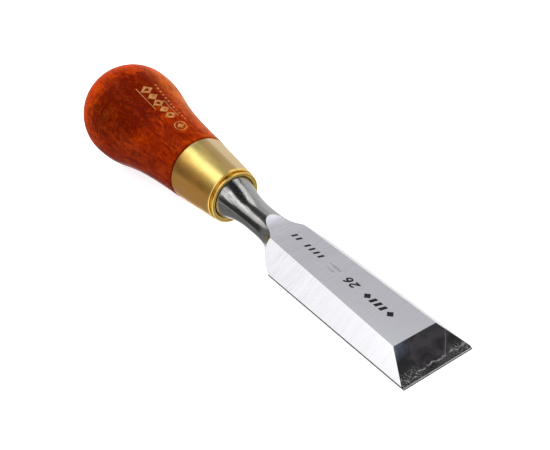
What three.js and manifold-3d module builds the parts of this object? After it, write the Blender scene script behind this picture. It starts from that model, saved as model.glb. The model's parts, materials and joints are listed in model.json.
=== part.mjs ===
// A short bevel-edge bench chisel: one steel forging (blade, neck, bolster and tang), a tapered
// brass ferrule and a turned hardwood handle. Millimetres, +Z up.
//
// The pieces are modelled in the tool frame: the cutting edge lies on the Y axis, X is the
// distance from the edge toward the butt of the handle, and the flat back lies in Z = 0.
// At the end the tool is turned so that +X points past the cutting edge, and laid down on its
// cutting edge and handle, with the origin under the middle of its bounding box.

import * as THREE from 'three';
import { mergeVertices } from 'three/addons/utils/BufferGeometryUtils.js';
import Module from 'manifold-3d';

const wasm = await Module();
wasm.setup();

const { degToRad } = THREE.MathUtils;

// Blade
const BLADE_WIDTH = 26;
const THICKNESS_AT_EDGE = 4.25; // of the blade's wedge, carried on to the cutting edge
const THICKNESS_TAPER = 0.024; // the blade thickens toward the shoulder
const SIDE_LAND = 0.5; // height of the flat strip left along each side
const SIDE_BEVEL = degToRad(38.5);
const TIP_BEVEL = degToRad(25);
const HONED_BEVEL = degToRad(30);
const HONED_LENGTH = 0.5;
const FULL_WIDTH_END = 53; // where the shoulders begin
const SHOULDER_WIDTH = 13.3; // half the forging's width there, before its sides are ground
const SHOULDER_HEIGHT = 9.5; // and half its height
const SHOULDER_SLOPE = 0.44; // how steeply the shoulders leave the blade's sides
const SHOULDER_REACH = 8.8; // how far they keep to that slope
const NECK_REACH = 10.4; // how gently they run out into the neck
const FACE_END = 64.6; // where the top face starts to run out on the neck
const FACE_RUN_OUT = 15; // radius of that run-out
const BACK_END = 63; // where the flat back starts to run out on the neck
const BACK_RUN_OUT = 4.1;

// Neck, bolster and tang, along the handle's axis
const NECK_WIDTH = 5.45; // half the width of the oval neck
const NECK_HEIGHT = 3.9; // and half its height
const NECK_START = 70.9;
const FLARE_START = 74; // where the neck begins to open into the bolster
const BOLSTER_RADIUS = 7.3;
const MOUTH = 86.6; // the ferrule's front
const BOLSTER_END = 88.1;
const TANG_WIDTH = 7.6;
const TANG_TIP_WIDTH = 3.6;
const TANG_END = 140;

// Ferrule
const FERRULE_END = 106.4;
const FERRULE_FRONT_RADIUS = 9.3;
const FERRULE_BACK_RADIUS = 11.32;
const FERRULE_WALL = 0.8;
const MOUTH_RADIUS = 7.6;
const MOUTH_SLOPE = 0.3; // the cup's face slopes back into its mouth by this
const BEAD_RADIUS = 8.95; // over the bead round the mouth
const BEAD_ROUND = 0.34; // radius of the bead itself
const GROOVE_DEPTH = 0.2; // from the bead's middle down to where the groove's bottom rounds
const BODY_OFFSET = 2; // of the tapered body's front end, from the front
const FRONT_ROUND = 0.4; // where the body turns in to the groove
const RIM_ROUND = 0.3;
const CUP_FLOOR = 1.4; // thickness of the cup's floor

// Handle
const WOOD_FRONT = 88.5;
const WAIST_RADIUS = 11.5;
const BULB_RADIUS = 17.95;
const BULB = 149.4; // where the handle is thickest
const BUTT = 165.9;
const WAIST_REACH = 32.8; // how far the waist's slow taper runs toward the bulb
const WAIST_RISE = 2.5; // and how much it opens over that length
const BULB_REACH = 13; // how soon the outline levels out before the bulb
const WOOD_CHAMFER = 0.3;
const END_GAP = 1; // between the tang's tip and the bottom of its hole

const FIT_GAP = 0.3; // between pieces that touch on the real tool

// The handle's axis rises from the blade's flat back toward the butt.
const AXIS_RISE = Math.atan(0.028);
const AXIS_HEIGHT_AT_EDGE = 0.77;

const ROUND_SEGMENTS = 48;
const CURVE_SEGMENTS = 10;
const BEAD_STEPS = 6;
const EDGE_STEPS = 3;
const MERGE_DISTANCE = 1e-4;
const FAR = 40; // reach of a grinding cut past the steel
const OVERLAP = 1; // of solids that are joined, or of a cut past a face

const handleAxis = new THREE.Matrix4().makeRotationY(-AXIS_RISE);
handleAxis.setPosition(0, 0, AXIS_HEIGHT_AT_EDGE);

const bladeThickness = (x) => THICKNESS_AT_EDGE + THICKNESS_TAPER * x;

// ---- Solids and geometries ----

function withoutFlatTriangles(index) {
  const kept = [];
  for (let i = 0; i < index.length; i += 3) {
    const [a, b, c] = [index[i], index[i + 1], index[i + 2]];
    if (a !== b && b !== c && c !== a) kept.push(a, b, c);
  }
  return kept;
}

function solid(geometry) {
  const bare = geometry.clone();
  bare.deleteAttribute('normal');
  bare.deleteAttribute('uv');
  const merged = mergeVertices(bare, MERGE_DISTANCE);
  return new wasm.Manifold(new wasm.Mesh({
    numProp: 3,
    vertProperties: new Float32Array(merged.attributes.position.array),
    triVerts: new Uint32Array(withoutFlatTriangles(merged.index.array)),
  }));
}

function geometryOf(body) {
  const mesh = body.getMesh();
  const geometry = new THREE.BufferGeometry();
  geometry.setAttribute('position', new THREE.BufferAttribute(mesh.vertProperties, 3));
  geometry.setIndex(new THREE.BufferAttribute(mesh.triVerts, 1));
  geometry.computeVertexNormals();
  return geometry;
}

// A turned shape along X. The profile lists [distance, radius] and runs toward the butt on its
// outside, so that the faces point out.
function turned(profile, segments = ROUND_SEGMENTS) {
  const points = profile.map(([distance, radius]) => new THREE.Vector2(radius, distance));
  return new THREE.LatheGeometry(points, segments).rotateZ(-Math.PI / 2);
}

// A bar along Y whose outline is drawn in X and Z.
function acrossBlade(outline) {
  const bar = new THREE.ExtrudeGeometry(outline, {
    depth: 2 * FAR,
    bevelEnabled: false,
    curveSegments: CURVE_SEGMENTS,
  });
  return bar.rotateX(Math.PI / 2).translate(0, FAR, 0);
}

// ---- The blade ----

// The shoulder's outline from the blade's full width in to the neck, seen from above or from
// the side.
function shoulderCurve(start, end) {
  return new THREE.CubicBezierCurve(
    new THREE.Vector2(FULL_WIDTH_END, start),
    new THREE.Vector2(FULL_WIDTH_END + SHOULDER_REACH, start - SHOULDER_REACH * SHOULDER_SLOPE),
    new THREE.Vector2(NECK_START - NECK_REACH, end),
    new THREE.Vector2(NECK_START, end),
  );
}

// Half the width or height of the forging, as [distance, size]. The bolster opens from the neck
// as a parabola and ends round.
function forgingOutline(start, neck) {
  const outline = [[FULL_WIDTH_END - 3 * OVERLAP, start]];
  for (const point of shoulderCurve(start, neck).getPoints(2 * CURVE_SEGMENTS)) {
    outline.push([point.x, point.y]);
  }
  for (let i = 0; i <= CURVE_SEGMENTS; i += 1) {
    const share = i / CURVE_SEGMENTS;
    const x = THREE.MathUtils.lerp(FLARE_START, MOUTH, share);
    outline.push([x, THREE.MathUtils.lerp(neck, BOLSTER_RADIUS, share ** 2)]);
  }
  outline.push([BOLSTER_END, BOLSTER_RADIUS]);
  return outline;
}

// Turned to half its width and then pressed oval, ring by ring, to half its height.
function neckAndBolster() {
  const widths = forgingOutline(SHOULDER_WIDTH, NECK_WIDTH);
  const heights = forgingOutline(SHOULDER_HEIGHT, NECK_HEIGHT);
  const rings = widths.length;
  const ends = [[widths[0][0], 0], [BOLSTER_END, 0]];
  const body = turned([ends[0], ...widths, ends[1]]);
  const positions = body.attributes.position;
  for (let i = 0; i < positions.count; i += 1) {
    const ring = (i % (rings + 2)) - 1;
    if (ring >= 0 && ring < rings) {
      positions.setZ(i, positions.getZ(i) * (heights[ring][1] / widths[ring][1]));
    }
  }
  return solid(body.applyMatrix4(handleAxis));
}

// A square bar along X that tapers toward its tip.
function squareTaper(start, end, startWidth, tipWidth) {
  const length = end - start;
  const bar = new THREE.CylinderGeometry(
    tipWidth / Math.SQRT2,
    startWidth / Math.SQRT2,
    length,
    4,
  );
  bar.rotateY(Math.PI / 4);
  bar.rotateZ(-Math.PI / 2);
  return bar.translate(start + length / 2, 0, 0);
}

function tang() {
  const bar = squareTaper(BOLSTER_END - OVERLAP, TANG_END, TANG_WIDTH, TANG_TIP_WIDTH);
  return solid(bar.applyMatrix4(handleAxis));
}

function bladeBlank() {
  const height = bladeThickness(FULL_WIDTH_END) + OVERLAP;
  const plate = new THREE.BoxGeometry(FULL_WIDTH_END + OVERLAP, BLADE_WIDTH, height);
  plate.translate((FULL_WIDTH_END - OVERLAP) / 2, 0, height / 2);
  return solid(plate);
}

// Ground away above the top face, which ends on the neck in the curve of the wheel.
function aboveTopFace() {
  const start = -FAR;
  const centreHeight = bladeThickness(FACE_END) + FACE_RUN_OUT;
  const outline = new THREE.Shape();
  outline.moveTo(start, bladeThickness(start));
  outline.lineTo(FACE_END, bladeThickness(FACE_END));
  outline.absarc(FACE_END, centreHeight, FACE_RUN_OUT, -Math.PI / 2, 0, false);
  outline.lineTo(FACE_END + FACE_RUN_OUT, FAR);
  outline.lineTo(start, FAR);
  return solid(acrossBlade(outline));
}

// Ground away below the flat back, which runs out more sharply.
function belowBack() {
  const start = -FAR;
  const outline = new THREE.Shape();
  outline.moveTo(start, 0);
  outline.lineTo(start, -FAR);
  outline.lineTo(BACK_END + BACK_RUN_OUT, -FAR);
  outline.absarc(BACK_END, -BACK_RUN_OUT, BACK_RUN_OUT, 0, Math.PI / 2, false);
  return solid(acrossBlade(outline));
}

// Ground away ahead of the tip bevel and of the steeper honed strip at the edge.
function aheadOfTipBevel() {
  const honedX = HONED_LENGTH * Math.cos(HONED_BEVEL);
  const honedZ = HONED_LENGTH * Math.sin(HONED_BEVEL);
  const outline = new THREE.Shape();
  outline.moveTo(0, 0);
  outline.lineTo(honedX, honedZ);
  outline.lineTo(honedX + FAR, honedZ + FAR * Math.tan(TIP_BEVEL));
  outline.lineTo(-FAR, FAR);
  outline.lineTo(-FAR, -OVERLAP);
  outline.lineTo(0, -OVERLAP);
  return solid(acrossBlade(outline));
}

// Ground away outside one side bevel. side is 1 or -1.
function outsideSideBevel(side) {
  const rise = Math.tan(SIDE_BEVEL);
  const edge = BLADE_WIDTH / 2;
  const outline = new THREE.Shape();
  outline.moveTo(side * (edge + OVERLAP), SIDE_LAND - OVERLAP * rise);
  outline.lineTo(side * (edge + OVERLAP), FAR);
  outline.lineTo(side * (edge - FAR / rise), SIDE_LAND + FAR);
  const length = NECK_START + FAR;
  const wedge = new THREE.ExtrudeGeometry(outline, { depth: length, bevelEnabled: false });
  return solid(wedge.rotateX(Math.PI / 2).rotateZ(Math.PI / 2).translate(-FAR, 0, 0));
}

// The blade's side lands, carried on over the shoulder.
function outsideSideLand(side) {
  const block = new THREE.BoxGeometry(3 * FAR, FAR, 2 * FAR);
  block.translate(FAR, side * (BLADE_WIDTH / 2 + FAR / 2), 0);
  return solid(block);
}

function bladeSolid() {
  let steel = bladeBlank().add(neckAndBolster());
  steel = steel.subtract(aboveTopFace()).subtract(belowBack()).subtract(aheadOfTipBevel());
  for (const side of [-1, 1]) {
    steel = steel.subtract(outsideSideBevel(side)).subtract(outsideSideLand(side));
  }
  return steel.add(tang());
}

// ---- The ferrule ----

const ferruleOutside = (x) => THREE.MathUtils.mapLinear(
  x, MOUTH + BODY_OFFSET, FERRULE_END, FERRULE_FRONT_RADIUS, FERRULE_BACK_RADIUS);
const ferruleInside = (x) => ferruleOutside(x) - FERRULE_WALL;

// Points [distance, radius] on an arc, by angles from the axis's direction toward the butt.
function arcPoints(centre, centreRadius, round, fromAngle, toAngle, steps) {
  const points = [];
  for (let i = 0; i <= steps; i += 1) {
    const angle = degToRad(THREE.MathUtils.lerp(fromAngle, toAngle, i / steps));
    points.push([centre + round * Math.cos(angle), centreRadius + round * Math.sin(angle)]);
  }
  return points;
}

// A drawn cup: bead round the mouth, a groove behind it, then the tapered body.
function ferruleGeometry() {
  const mouthEdge = MOUTH + MOUTH_SLOPE;
  const floorBack = MOUTH + CUP_FLOOR;
  const bodyStart = MOUTH + BODY_OFFSET;
  const rimStart = FERRULE_END - RIM_ROUND;
  const beadCentre = BEAD_RADIUS - BEAD_ROUND;
  const beadEnd = MOUTH + 2 * BEAD_ROUND;
  const grooveRound = (bodyStart - FRONT_ROUND - beadEnd) / 2;
  const grooveMiddle = beadEnd + grooveRound;
  const profile = [
    [mouthEdge, MOUTH_RADIUS],
    ...arcPoints(MOUTH + BEAD_ROUND, beadCentre, BEAD_ROUND, 180, 0, BEAD_STEPS),
    ...arcPoints(grooveMiddle, beadCentre - GROOVE_DEPTH, grooveRound, 180, 360, BEAD_STEPS),
    ...arcPoints(bodyStart, FERRULE_FRONT_RADIUS - FRONT_ROUND, FRONT_ROUND, 180, 90, EDGE_STEPS),
    ...arcPoints(rimStart, ferruleOutside(rimStart) - RIM_ROUND, RIM_ROUND, 90, 0, EDGE_STEPS),
    [FERRULE_END, ferruleInside(FERRULE_END)],
    [floorBack, ferruleInside(floorBack)],
    [floorBack, MOUTH_RADIUS],
    [mouthEdge, MOUTH_RADIUS],
  ];
  return geometryOf(solid(turned(profile)));
}

// ---- The handle ----

function handleSolid() {
  const shoulder = FERRULE_END + FIT_GAP;
  const waistStart = shoulder + WOOD_CHAMFER;
  const waist = new THREE.CubicBezierCurve(
    new THREE.Vector2(waistStart, WAIST_RADIUS),
    new THREE.Vector2(waistStart + WAIST_REACH, WAIST_RADIUS + WAIST_RISE),
    new THREE.Vector2(BULB - BULB_REACH, BULB_RADIUS),
    new THREE.Vector2(BULB, BULB_RADIUS),
  );
  const profile = [
    [WOOD_FRONT, 0],
    [WOOD_FRONT, ferruleInside(WOOD_FRONT) - FIT_GAP],
    [shoulder, ferruleInside(shoulder) - FIT_GAP],
    [shoulder, WAIST_RADIUS - WOOD_CHAMFER],
  ];
  for (const point of waist.getPoints(2 * CURVE_SEGMENTS)) {
    profile.push([point.x, point.y]);
  }
  for (let i = 1; i < CURVE_SEGMENTS; i += 1) {
    const angle = (Math.PI / 2) * (i / CURVE_SEGMENTS);
    profile.push([BULB + (BUTT - BULB) * Math.sin(angle), BULB_RADIUS * Math.cos(angle)]);
  }
  profile.push([BUTT, 0]);
  return solid(turned(profile)).subtract(tangHole());
}

// A blind hole that follows the tang with a small gap.
function tangHole() {
  return solid(squareTaper(
    WOOD_FRONT - OVERLAP,
    TANG_END + END_GAP,
    TANG_WIDTH + 2 * FIT_GAP,
    TANG_TIP_WIDTH + 2 * FIT_GAP,
  ));
}

// ---- The assembly ----

function piece(name, geometry, color, roughness, metalness) {
  const material = new THREE.MeshStandardMaterial({ color, roughness, metalness });
  const mesh = new THREE.Mesh(geometry, material);
  mesh.name = name;
  return mesh;
}

const handle = piece('handle', geometryOf(handleSolid()), 0x8c2a10, 0.25, 0);

const onHandleAxis = new THREE.Group();
onHandleAxis.applyMatrix4(handleAxis);
onHandleAxis.add(handle);
onHandleAxis.add(piece('ferrule', ferruleGeometry(), 0xc9a24c, 0.3, 1));

const tool = new THREE.Group();
tool.rotation.z = Math.PI;
tool.add(piece('blade', geometryOf(bladeSolid()), 0xb4b4b8, 0.25, 1));
tool.add(onHandleAxis);

// The angle between the flat back and the bench, when the tool lies on its edge and its handle.
function restingAngle() {
  const positions = handle.geometry.attributes.position;
  const point = new THREE.Vector3();
  let angle = 0;
  for (let i = 0; i < positions.count; i += 1) {
    point.fromBufferAttribute(positions, i).applyMatrix4(handleAxis);
    angle = Math.max(angle, Math.atan2(-point.z, point.x));
  }
  return angle;
}

const resting = new THREE.Group();
resting.rotation.y = restingAngle();
resting.add(tool);

const chisel = new THREE.Group();
chisel.add(resting);
chisel.updateMatrixWorld(true);

const box = new THREE.Box3().setFromObject(chisel, true);
const middle = box.getCenter(new THREE.Vector3());
resting.position.set(-middle.x, -middle.y, -box.min.z);
chisel.updateMatrixWorld(true);

export default chisel;
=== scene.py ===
"""A short bevel-edge bench chisel lying on its cutting edge and its handle.

Shapes are drawn in millimetres in the tool frame: X runs from the cutting edge toward the butt,
Y points to the near side and Z = 0 is the flat back. TOOL turns that frame into the row frame.
"""
import json
import math

import bmesh
import bpy
import numpy as np
from mathutils import Matrix, Vector


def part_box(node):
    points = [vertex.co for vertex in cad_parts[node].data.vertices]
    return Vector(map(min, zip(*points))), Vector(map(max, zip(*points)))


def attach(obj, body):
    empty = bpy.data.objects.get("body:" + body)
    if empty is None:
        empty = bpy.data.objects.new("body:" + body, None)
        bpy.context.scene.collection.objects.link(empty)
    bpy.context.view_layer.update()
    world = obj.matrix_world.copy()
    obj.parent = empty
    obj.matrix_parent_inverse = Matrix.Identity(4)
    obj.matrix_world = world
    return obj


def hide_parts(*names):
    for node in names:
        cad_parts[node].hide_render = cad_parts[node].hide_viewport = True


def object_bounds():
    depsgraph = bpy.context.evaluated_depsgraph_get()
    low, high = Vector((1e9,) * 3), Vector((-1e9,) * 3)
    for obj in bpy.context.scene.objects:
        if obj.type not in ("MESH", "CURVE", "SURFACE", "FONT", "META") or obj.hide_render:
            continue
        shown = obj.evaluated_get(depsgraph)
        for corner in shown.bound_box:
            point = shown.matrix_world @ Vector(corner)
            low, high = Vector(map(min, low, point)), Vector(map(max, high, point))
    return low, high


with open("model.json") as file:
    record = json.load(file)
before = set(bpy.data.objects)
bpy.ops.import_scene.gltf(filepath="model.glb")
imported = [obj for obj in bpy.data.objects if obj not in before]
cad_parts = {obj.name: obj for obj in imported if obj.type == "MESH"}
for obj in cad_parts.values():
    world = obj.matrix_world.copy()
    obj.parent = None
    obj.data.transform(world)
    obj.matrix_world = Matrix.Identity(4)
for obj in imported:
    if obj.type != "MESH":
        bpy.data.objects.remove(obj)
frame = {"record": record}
cad_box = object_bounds()

MM = 0.001

# Blade
BLADE_WIDTH = 26
THICKNESS_AT_EDGE = 4.25  # as if the top face went on to the edge
THICKNESS_TAPER = 0.024  # the blade thickens toward the shoulder
SIDE_LAND = 0.5  # height of the flat strip left along each side
SIDE_BEVEL = math.radians(38.5)
TIP_BEVEL = math.radians(25)
HONED_BEVEL = math.radians(30)
HONED_LENGTH = 0.5
FULL_WIDTH_END = 53  # where the shoulders begin
SHOULDER_WIDTH = 13.3  # half the forging's width there
SHOULDER_HEIGHT = 9.5  # and half its height
SHOULDER_SLOPE = 0.44  # how steeply the shoulders leave the blade's sides
SHOULDER_REACH = 8.8  # how far they keep to that slope
NECK_REACH = 10.4  # how gently they run out into the neck
FACE_END = 64.6  # where the top face starts to run out on the neck
FACE_RUN_OUT = 15  # radius of that run-out
BACK_END = 63  # where the flat back starts to run out
BACK_RUN_OUT = 4.1  # radius of that run-out
UNCUT = 100  # height or reach of a cut that isn't there

# Neck, bolster and tang
NECK_WIDTH = 5.45  # half the width of the oval neck
NECK_HEIGHT = 3.9  # and half its height
NECK_START = 70.9
FLARE_START = 74
BOLSTER_RADIUS = 7.3
MOUTH = 86.6  # the ferrule's front
BOLSTER_END = 88.1
TANG_WIDTH = 7.6
TANG_TIP_WIDTH = 3.6
TANG_END = 140
END_GAP = 1  # between the tang's tip and the bottom of its hole

# Ferrule
FERRULE_END = 106.4
FERRULE_FRONT_RADIUS = 9.3
FERRULE_BACK_RADIUS = 11.32
FERRULE_WALL = 0.8
MOUTH_RADIUS = 7.6
MOUTH_SLOPE = 0.3  # the cup's face slopes back into its mouth by this
BEAD_RADIUS = 8.95
BEAD_ROUND = 0.34
GROOVE_DEPTH = 0.2  # from the middle of the bead's round down to that of the groove's
BODY_OFFSET = 2  # of the tapered body's front end, from the front
FRONT_ROUND = 0.4
RIM_ROUND = 0.3
CUP_FLOOR = 1.4

# Handle
WOOD_FRONT = 88.5
WAIST_RADIUS = 11.5
BULB_RADIUS = 17.95
BULB = 149.4  # where the handle is thickest
BUTT = 165.9
WAIST_REACH = 32.8  # how far the outline keeps to its first slope
WAIST_RISE = 2.5  # and how much it widens over that
BULB_REACH = 13  # how gently it comes to the bulb's full width
WOOD_CHAMFER = 0.3
FIT_GAP = 0.3
PAINTED_SHADE_MIDDLE = (139, 8, 13)  # middle of a painted shade on the bulb

# The handle's axis rises from the blade's flat back toward the butt.
AXIS_SLOPE = 0.028
AXIS_HEIGHT_AT_EDGE = 0.77

# Marks are thin slabs that stand this proud of a surface and reach this far into it.
MARK_LIFT = 0.02
MARK_DEPTH = 0.05

# Meshes, which are in millimetres until they are put in place
SEGMENTS = 192  # round a turned piece
CURVE_SAMPLES = 200
STRAIGHT_SECTIONS = 12  # along the blade's full width
SECTION_STEP = 0.25  # between the sections of the shoulders and the neck
APEX_SECTIONS = 24  # toward the point where a flat face runs out
JUST_BEFORE = 1e-3
MERGE_DISTANCE = 1e-4
TINY = 1e-7
HALVINGS = 40  # in the search for a crossing

# ---- The tool frame in the row frame ----

back_mount = next(m for m in frame["record"]["mounts"] if m["name"] == "flat_back")
tool_up = -Vector(back_mount["axis"])
near_side = Vector((0, -1, 0))
toward_butt = near_side.cross(tool_up)
edge_middle = Vector((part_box("blade")[1].x, 0, 0))
TOOL_TURN = Matrix((toward_butt, near_side, tool_up)).transposed()
TOOL = Matrix.Translation(edge_middle) @ TOOL_TURN.to_4x4() @ Matrix.Scale(MM, 4)
AXIS_IN_TOOL = (
    Matrix.Translation((0, 0, AXIS_HEIGHT_AT_EDGE))
    @ Matrix.Rotation(-math.atan(AXIS_SLOPE), 4, "Y")
)
HANDLE_AXIS = TOOL @ AXIS_IN_TOOL


# ---- Mesh helpers ----

def add_object(name, data):
    thing = bpy.data.objects.new(name, data)
    bpy.context.scene.collection.objects.link(thing)
    return thing


def add_piece(name, vertices, faces):
    """A mesh object from plain vertices and faces."""
    mesh = bpy.data.meshes.new(name)
    mesh.from_pydata([tuple(v) for v in vertices], [], faces)
    return add_object(name, mesh)


def finish_piece(piece, matrix, replaces=None, sharp_angle=28):
    """Joins doubled vertices, turns the faces outward and puts the piece in its place.

    Edges sharper than the angle, in degrees, stay crisp.
    """
    mesh = piece.data
    work = bmesh.new()
    work.from_mesh(mesh)
    bmesh.ops.remove_doubles(work, verts=work.verts, dist=MERGE_DISTANCE)
    bmesh.ops.dissolve_degenerate(work, dist=MERGE_DISTANCE / 10, edges=work.edges)
    bmesh.ops.recalc_face_normals(work, faces=work.faces)
    work.to_mesh(mesh)
    work.free()
    mesh.transform(matrix)
    mesh.shade_smooth()
    mesh.set_sharp_from_angle(angle=math.radians(sharp_angle))
    mesh.update()
    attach(piece, "root")
    if replaces:
        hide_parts(replaces)


def cubic_bezier(p0, p1, p2, p3, t):
    """Points on a cubic Bezier curve, one row for each value in t."""
    t = np.asarray(t, float)[:, None]
    points = [np.array(p, float) for p in (p0, p1, p2, p3)]
    weights = ((1 - t) ** 3, 3 * t * (1 - t) ** 2, 3 * t * t * (1 - t), t ** 3)
    return sum(w * p for w, p in zip(weights, points))


def arc_points(centre, centre_radius, size, from_angle, to_angle, steps):
    """Points (x, radius) on an arc, by angles from the direction toward the butt."""
    angles = np.radians(np.linspace(from_angle, to_angle, steps + 1))
    return [(centre + size * math.cos(a), centre_radius + size * math.sin(a)) for a in angles]


def turned(name, profile):
    """A turned piece round X. The profile lists (x, radius) and closes on itself or on X."""
    vertices = []
    rings = []
    for x, radius in profile:
        first = len(vertices)
        if radius == 0:
            vertices.append((x, 0, 0))
            rings.append([first] * SEGMENTS)
            continue
        for k in range(SEGMENTS):
            angle = 2 * math.pi * k / SEGMENTS
            vertices.append((x, radius * math.sin(angle), radius * math.cos(angle)))
        rings.append(list(range(first, first + SEGMENTS)))
    faces = []
    count = len(rings)
    on_axis = profile[0][1] == 0 and profile[-1][1] == 0
    for i in range(count - 1 if on_axis else count):
        ring, other = rings[i], rings[(i + 1) % count]
        for k in range(SEGMENTS):
            n = (k + 1) % SEGMENTS
            face = list(dict.fromkeys((ring[k], ring[n], other[n], other[k])))
            if len(face) > 2:
                faces.append(face)
    return add_piece(name, vertices, faces)


# ---- Node helpers ----

class Shader:
    """A material built from nodes, with its coordinates in millimetres along one of the axes."""

    def __init__(self, name, matrix):
        self.material = bpy.data.materials.new(name)
        self.material.use_nodes = True
        self.tree = self.material.node_tree
        self.surface = self.tree.nodes["Principled BSDF"]
        where = self.tree.nodes.new("ShaderNodeTexCoord")
        mapping = self.tree.nodes.new("ShaderNodeMapping")
        mapping.vector_type = "TEXTURE"
        place, turn, scale = matrix.decompose()
        mapping.inputs["Location"].default_value = place
        mapping.inputs["Rotation"].default_value = turn.to_euler()
        mapping.inputs["Scale"].default_value = scale
        self.tree.links.new(where.outputs["Object"], mapping.inputs["Vector"])
        self.place = mapping.outputs["Vector"]
        parts = self.tree.nodes.new("ShaderNodeSeparateXYZ")
        self.tree.links.new(self.place, parts.inputs["Vector"])
        self.x, self.y, self.z = parts.outputs

    def feed(self, socket, value):
        """Links another node's output, or sets a plain value."""
        if isinstance(value, bpy.types.NodeSocket):
            self.tree.links.new(value, socket)
        else:
            socket.default_value = value

    def math(self, operation, *values):
        node = self.tree.nodes.new("ShaderNodeMath")
        node.operation = operation
        for socket, value in zip(node.inputs, values):
            self.feed(socket, value)
        return node.outputs[0]

    def stretched(self, sx, sy, sz, offset=(0, 0, 0)):
        """The place, scaled along each axis."""
        node = self.tree.nodes.new("ShaderNodeVectorMath")
        node.operation = "MULTIPLY_ADD"
        self.feed(node.inputs[0], self.place)
        node.inputs[1].default_value = (sx, sy, sz)
        node.inputs[2].default_value = offset
        return node.outputs[0]

    def noise(self, vector, detail, roughness=0.5, distortion=0.0):
        node = self.tree.nodes.new("ShaderNodeTexNoise")
        self.feed(node.inputs["Vector"], vector)
        node.inputs["Scale"].default_value = 1
        node.inputs["Detail"].default_value = detail
        node.inputs["Roughness"].default_value = roughness
        node.inputs["Distortion"].default_value = distortion
        return node.outputs["Fac"]

    def ramp(self, value, low, high, out_low=0.0, out_high=1.0):
        """A smooth step, from out_low at low to out_high at high."""
        node = self.tree.nodes.new("ShaderNodeMapRange")
        node.interpolation_type = "SMOOTHSTEP"
        self.feed(node.inputs["Value"], value)
        for key, number in zip(("From Min", "From Max", "To Min", "To Max"),
                               (low, high, out_low, out_high)):
            self.feed(node.inputs[key], number)
        return node.outputs["Result"]

    def band(self, value, middle, half_width, edge):
        """1 within the half width of the middle, and falling to 0 over the edge beyond it."""
        distance = self.math("ABSOLUTE", self.math("SUBTRACT", value, middle))
        return self.ramp(distance, half_width, half_width + edge, 1, 0)

    def near(self, point, inner, outer):
        """1 within the inner distance of a point, and 0 beyond the outer one."""
        node = self.tree.nodes.new("ShaderNodeVectorMath")
        node.operation = "DISTANCE"
        self.feed(node.inputs[0], self.place)
        node.inputs[1].default_value = point
        return self.ramp(node.outputs["Value"], inner, outer, 1, 0)

    def mix(self, factor, a, b):
        """A mix of two colours."""
        node = self.tree.nodes.new("ShaderNodeMix")
        node.data_type = "RGBA"
        self.feed(node.inputs["Factor"], factor)
        sockets = [s for s in node.inputs if s.type == "RGBA"]
        for socket, value in zip(sockets, (a, b)):
            self.feed(socket, value if isinstance(value, bpy.types.NodeSocket) else (*value, 1))
        return next(s for s in node.outputs if s.type == "RGBA")

    def bump(self, height, distance, strength, normal=None):
        """distance is in metres."""
        node = self.tree.nodes.new("ShaderNodeBump")
        node.inputs["Strength"].default_value = strength
        node.inputs["Distance"].default_value = distance
        self.feed(node.inputs["Height"], height)
        if normal:
            self.feed(node.inputs["Normal"], normal)
        return node.outputs["Normal"]

    def set(self, **values):
        """Sets the surface shader's sockets. Base_Color stands for Base Color."""
        for key, value in values.items():
            self.feed(self.surface.inputs[key.replace("_", " ")], value)
        return self.material


# ---- Materials ----

def ground_steel(name, tint, light, dark, rough, lines_per_mm, slant):
    """Steel ground across its length, with fine lines, and duller where it runs out on the neck.

    rough is the lowest and the highest roughness.
    """
    s = Shader(name, TOOL)
    along = s.math("ADD", s.x, s.math("MULTIPLY", s.y, slant))
    node = s.tree.nodes.new("ShaderNodeCombineXYZ")
    s.feed(node.inputs[0], s.math("MULTIPLY", along, lines_per_mm))
    s.feed(node.inputs[1], s.math("MULTIPLY", s.y, 0.1))
    s.feed(node.inputs[2], s.math("MULTIPLY", s.z, 0.1))
    lines = s.noise(node.outputs[0], 5, 0.62)
    patches = s.noise(s.stretched(0.30, 0.09, 0.09), 3, 0.6)
    tone = s.math("ADD", s.math("MULTIPLY", lines, 0.6), s.math("MULTIPLY", patches, 0.4))
    run_out = s.ramp(s.x, FACE_END - 6, FACE_END + 3, 0, 0.14)
    colour = s.mix(s.ramp(tone, 0.36, 0.64), [dark * t for t in tint], [light * t for t in tint])
    return s.set(
        Base_Color=colour,
        Metallic=1.0,
        Roughness=s.math("ADD", s.ramp(tone, 0.36, 0.62, rough[1], rough[0]), run_out),
        Normal=s.bump(lines, 0.00001, 0.3),
    )


def forged_steel():
    """The neck and bolster: polished along their length, with fine pits."""
    s = Shader("forged_steel", TOOL)
    streaks = s.noise(s.stretched(0.09, 2.2, 2.2), 4, 0.6)
    pits = s.noise(s.stretched(2.6, 2.6, 2.6), 3, 0.6)
    colour = s.mix(s.ramp(streaks, 0.35, 0.65), (0.30, 0.296, 0.292), (0.40, 0.395, 0.39))
    rough = s.math("ADD", s.ramp(streaks, 0.3, 0.7, 0.17, 0.11), s.ramp(pits, 0.5, 0.7, 0, 0.08))
    rough = s.math("ADD", rough, s.ramp(s.x, FULL_WIDTH_END + 2, FULL_WIDTH_END + 8, 0.25, 0))
    relief = s.bump(pits, 0.00003, 0.4, s.bump(streaks, 0.00002, 0.25))
    return s.set(Base_Color=colour, Metallic=1.0, Roughness=rough, Normal=relief)


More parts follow.
